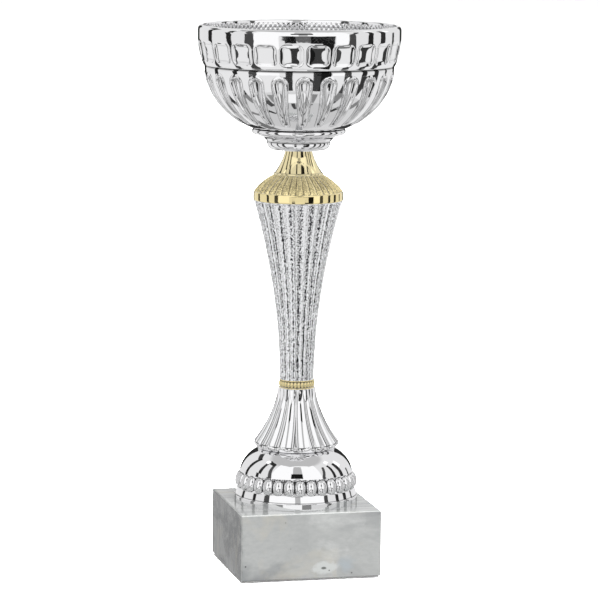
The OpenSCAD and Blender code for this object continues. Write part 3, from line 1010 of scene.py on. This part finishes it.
# Cards and strips are laid out from the camera's side: azimuths are degrees from the camera's direction,
# positive to its right, and shade is how brightly they glow. An azimuth may be a pair (low end, high end).
CARDS = (
    # left, right, lowest and highest elevation, shade
    (-54, -23, -3, 60, 1.08),
    (40.5, 57, -3, 58, 1.08),
    (-123, -115, -3, 44, 0.02),
    ((-86, -92), (-79, -84), -3, 20, 0.02),
    ((-87, -94), (-79, -86), 20, 58, 0.02),
    (-63, -51, -3, 18, 0.07),
    ((-60, -72), (-51, -64), 18, 56, 0.09),
    (-95, -64, 50, 57, 0.03),
    (-142, -122, 36, 44, 0.05),
    (-10, 15, 22, 37, 0.01),
    (-7, 15, 37, 60, 0.50),
    ((56, 57), (66, 64), -3, 20, 0.07),
    ((57, 70), (64, 77), 20, 45, 0.08),
    ((81, 86), (89, 92), -3, 43, 0.02),
    (102, 111, -3, 38, 0.03),
    (126, 131, -3, 12, 0.03),
    (-101, -88, 48, 55, 1.25),
    (92, 106, 45, 52, 1.25),
    (111, 121, 24, 38, 1.25),
    (-168, -153, -3, 25, 0.03),
    (153, 168, -3, 25, 0.03),
)
FAR_CARDS = (
    # name, left, right, lowest and highest elevation, shade, distance
    ("front_board", -24, 41, 2.35, 60, 1.08, 3.05),
    ("dark_room_tip", (-16, -23), -10, 0.2, 1.6, 0.02, 3.0),
    ("dark_room_left", -16, (-3, -6), -1.0, 2.3, 0.01, 3.0),
    ("dark_room_middle", -5, 12, -0.1, 2.1, 0.13, 3.01),
    ("dark_room_right", 12, 40, -1.0, 2.6, 0.01, 3.0),
    ("grey_stand", -1, 9, 2.35, 22, 0.50, 2.50),
)
STRIPS = (
    # left, right, near and far end, shade
    (-16, -8, 0.08, 0.14, 0.07),
    (-16, -8, 0.31, 1.74, 0.04),
    (17, 28, 0.08, 0.14, 0.07),
    (17, 26, 0.31, 1.74, 0.05),
    (26, 39, 0.31, 2.98, 0.01),
    (21, 40, 1.20, 1.50, 0.01),
    (-48, -22, 0.15, 0.26, 0.28),
    (-22, 11, 0.15, 0.26, 1.0),
    (11, 27, 0.15, 0.26, 0.25),
    (-63, -51, 0.13, 0.20, 0.08),
    (-63, -51, 0.31, 1.10, 0.06),
    (56, 66, 0.13, 0.20, 0.08),
    (56, 66, 0.31, 1.10, 0.06),
    (81, 90, 0.08, 0.15, 0.05),
    (81, 90, 0.31, 1.10, 0.04),
    (-123, -115, 0.31, 1.10, 0.04),
    (-87, -79, 0.08, 0.15, 0.05),
    (-87, -79, 0.31, 1.10, 0.04),
    (102, 111, 0.31, 1.10, 0.04),
    (-123, -115, 0.15, 0.31, 0.24),
    (-87, -79, 0.15, 0.31, 0.24),
    (-63, -51, 0.20, 0.31, 0.24),
    (56, 66, 0.20, 0.31, 0.24),
    (81, 90, 0.15, 0.31, 0.24),
    (102, 111, 0.15, 0.31, 0.24),
    (-168, -138, 0.20, 0.28, 0.18),
    (-172, -161, 0.30, 1.10, 0.04),
    (161, 172, 0.30, 1.10, 0.04),
)
TABLES = (
    # name, radius, height, shade
    ("table_top", 1.75, 0.0005, 0.88),
    ("table_near", 0.30, 0.0008, 0.72),
    ("table_middle", 0.15, 0.0010, 0.62),
)
FLOOR_HALF = 6.0


def glow(name, shade):
    """A card's surface: shines evenly and reflects nothing itself."""
    n = Surface(name)
    n.uniform(Base_Color=(0.0, 0.0, 0.0, 1.0), Roughness=1.0, Specular_IOR_Level=0.0)
    n.uniform(Emission_Color=(shade, shade, shade, 1.0), Emission_Strength=1.0)
    return n.material


def add_reflected(name, points, faces, shade):
    """A studio card kept out of everything but the trophy's reflections."""
    piece = add_mesh(name, points, faces)
    piece.data.materials.append(glow(name, shade))
    piece.visible_camera = False
    piece.visible_diffuse = False
    piece.visible_shadow = False


def add_card(name, left, right, low, high, shade, distance):
    """A card that stands round the trophy like a patch of a ball."""
    bands = 6
    points = []
    for k in range(bands + 1):
        t = k / bands
        rise = math.radians(low + (high - low) * t)
        for side in (left, right):
            azimuth = side[0] + (side[1] - side[0]) * t if isinstance(side, tuple) else side
            turn = math.radians(FACING + azimuth)
            reach = distance * math.cos(rise)
            height = max(CARD_LOWEST, CARD_HEIGHT + distance * math.sin(rise))
            points.append((reach * math.cos(turn), reach * math.sin(turn), height))
    faces = [(2 * k, 2 * k + 1, 2 * k + 3, 2 * k + 2) for k in range(bands)]
    add_reflected(name, points, faces, shade)


def add_strip(name, left, right, near, far, height, shade):
    """A level strip that runs away from the trophy between two azimuths."""
    points = []
    for reach in (near, far):
        for azimuth in (left, right):
            turn = math.radians(FACING + azimuth)
            points.append((reach * math.cos(turn), reach * math.sin(turn), height))
    add_reflected(name, points, [(0, 1, 3, 2)], shade)


def add_disc(name, radius, height, shade):
    """A level round card under the trophy."""
    corners = 48
    turns = np.linspace(0.0, 2.0 * math.pi, corners, endpoint=False)
    points = [(radius * math.cos(a), radius * math.sin(a), height) for a in turns]
    add_reflected(name, points, [tuple(range(corners))], shade)


def soft_light(name, azimuth, elevation, distance, size, power):
    """A large soft lamp aimed at the trophy that leaves no reflection of its own."""
    data = bpy.data.lights.new(name, "AREA")
    data.shape = "SQUARE"
    data.size = size
    data.energy = power
    lamp = bpy.data.objects.new(name, data)
    turn = math.radians(FACING + azimuth)
    rise = math.radians(elevation)
    away = Vector((math.cos(turn) * math.cos(rise), math.sin(turn) * math.cos(rise), math.sin(rise)))
    lamp.location = away * distance + Vector((0.0, 0.0, 0.1))
    lamp.rotation_euler = away.to_track_quat("Z", "Y").to_euler()
    lamp.visible_glossy = False
    bpy.context.scene.collection.objects.link(lamp)
    return lamp


def make_world():
    """White to the eye, a little greyer in reflections, light grey overhead."""
    world = bpy.data.worlds.new("studio")
    bpy.context.scene.world = world
    world.use_nodes = True
    sky = Tree(world.node_tree)
    up = sky.split(sky.add("ShaderNodeTexCoord").outputs["Generated"])["Z"]
    ceiling = sky.remap(up, 0.80, 0.88, 1.0, 0.65)
    ceiling.node.interpolation_type = "SMOOTHSTEP"
    ray = sky.add("ShaderNodeLightPath").outputs
    seen = sky.remap(ray["Is Camera Ray"], 0.0, 1.0, 0.84, 1.1)
    scattered = sky.remap(ray["Is Diffuse Ray"], 0.0, 1.0, 1.0, 0.84)
    background = sky.tree.nodes["Background"]
    sky.link(ceiling, background.inputs["Color"])
    sky.link(sky.math("MULTIPLY", seen, scattered), background.inputs["Strength"])


def make_floor():
    """Pale floor that shows neither in reflections nor as bounced light, with a lamp of its own."""
    corners = [(-FLOOR_HALF, -FLOOR_HALF), (FLOOR_HALF, -FLOOR_HALF), (FLOOR_HALF, FLOOR_HALF)]
    corners += [(-FLOOR_HALF, FLOOR_HALF)]
    floor = add_mesh("floor", [(x, y, 0.0) for x, y in corners], [(0, 1, 2, 3)])
    n = Surface("pale_floor")
    n.uniform(Base_Color=(0.93, 0.93, 0.93, 1.0), Roughness=0.9)
    paint(floor, n.material)
    floor.visible_glossy = False
    floor.visible_diffuse = False
    lamp = soft_light("floor_light", azimuth=0.0, elevation=88.0, distance=4.0, size=3.0, power=700.0)
    lit = bpy.data.collections.new("lit_by_floor_light")
    lit.objects.link(floor)
    lamp.light_linking.receiver_collection = lit


def make_studio():
    make_world()
    for number, (*area, shade) in enumerate(CARDS):
        add_card(f"card_{number}", *area, shade, CARD_REACH - 0.002 * number)
    for far_card in FAR_CARDS:
        add_card(*far_card)
    for number, (*area, shade) in enumerate(STRIPS):
        add_strip(f"strip_{number}", *area, 0.002 + 0.0002 * number, shade)
    for table in TABLES:
        add_disc(*table)
    soft_light("front_light", azimuth=30.0, elevation=15.0, distance=2.4, size=1.4, power=64.0)
    soft_light("top_light", azimuth=20.0, elevation=75.0, distance=2.4, size=1.4, power=95.0)
    make_floor()


# ---------------------------------------------------------------- assembly

SILVER = (0.90, 0.90, 0.91)
GOLD = (0.94, 0.82, 0.49)
DEEP_GOLD = (0.95, 0.81, 0.44)
SILVER_HAZE = (0.02, 0.06)
GOLD_HAZE = (0.03, 0.07)

make_camera()
make_studio()

silver = plated("silver_plating", SILVER, SILVER_HAZE, ripple=0.12, crease_shade=0.15)
cup_silver = plated("cup_silver_plating", SILVER, SILVER_HAZE, ripple=0.12, crease_shade=0.12,
                    creased=(0.467, 0.498))
textured = hammered()
gold = plated("gold_plating", GOLD, GOLD_HAZE, ripple=0.05, crease_shade=0.10)
gold_ribs = plated("gold_grained_ribs", DEEP_GOLD, GOLD_HAZE, ripple=0.05, crease_shade=0.10,
                   creased=(0.465, 0.499), grain_above=(COLLAR_Z + BAND_H + 0.2) * MM)

PIECES = (
    (make_foot, "foot", "silver_plate", silver),
    (make_riser, "riser", "silver_plate", silver),
    (make_bead_ring, "bead_ring", "gold_plate", gold_ribs),
    (make_column, "column", "silver_textured", textured),
    (make_collar, "collar", "gold_plate", gold_ribs),
    (make_neck, "neck", "gold_plate", gold),
    (make_cup, "cup", "silver_plate", cup_silver),
)
# The slim middle of the trophy stays out of reflections, so that the foot and the cup stay bright.
UNREFLECTED = ("bead_ring", "column", "collar", "neck")
STEEL_NODES = ("base_nut", "base_washer", "tie_rod", "cup_washer", "cup_nut")

for make, node, slot, material in PIECES:
    piece = make()
    piece.visible_glossy = node not in UNREFLECTED
    paint(piece, material)
    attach(piece, "root")
    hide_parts(node)

paint_node("marble_base", marble())
metal = steel()
for node in STEEL_NODES:
    paint_node(node, metal)
paint_node("base_pads", felt())

bpy.context.scene.view_settings.view_transform = "Standard"
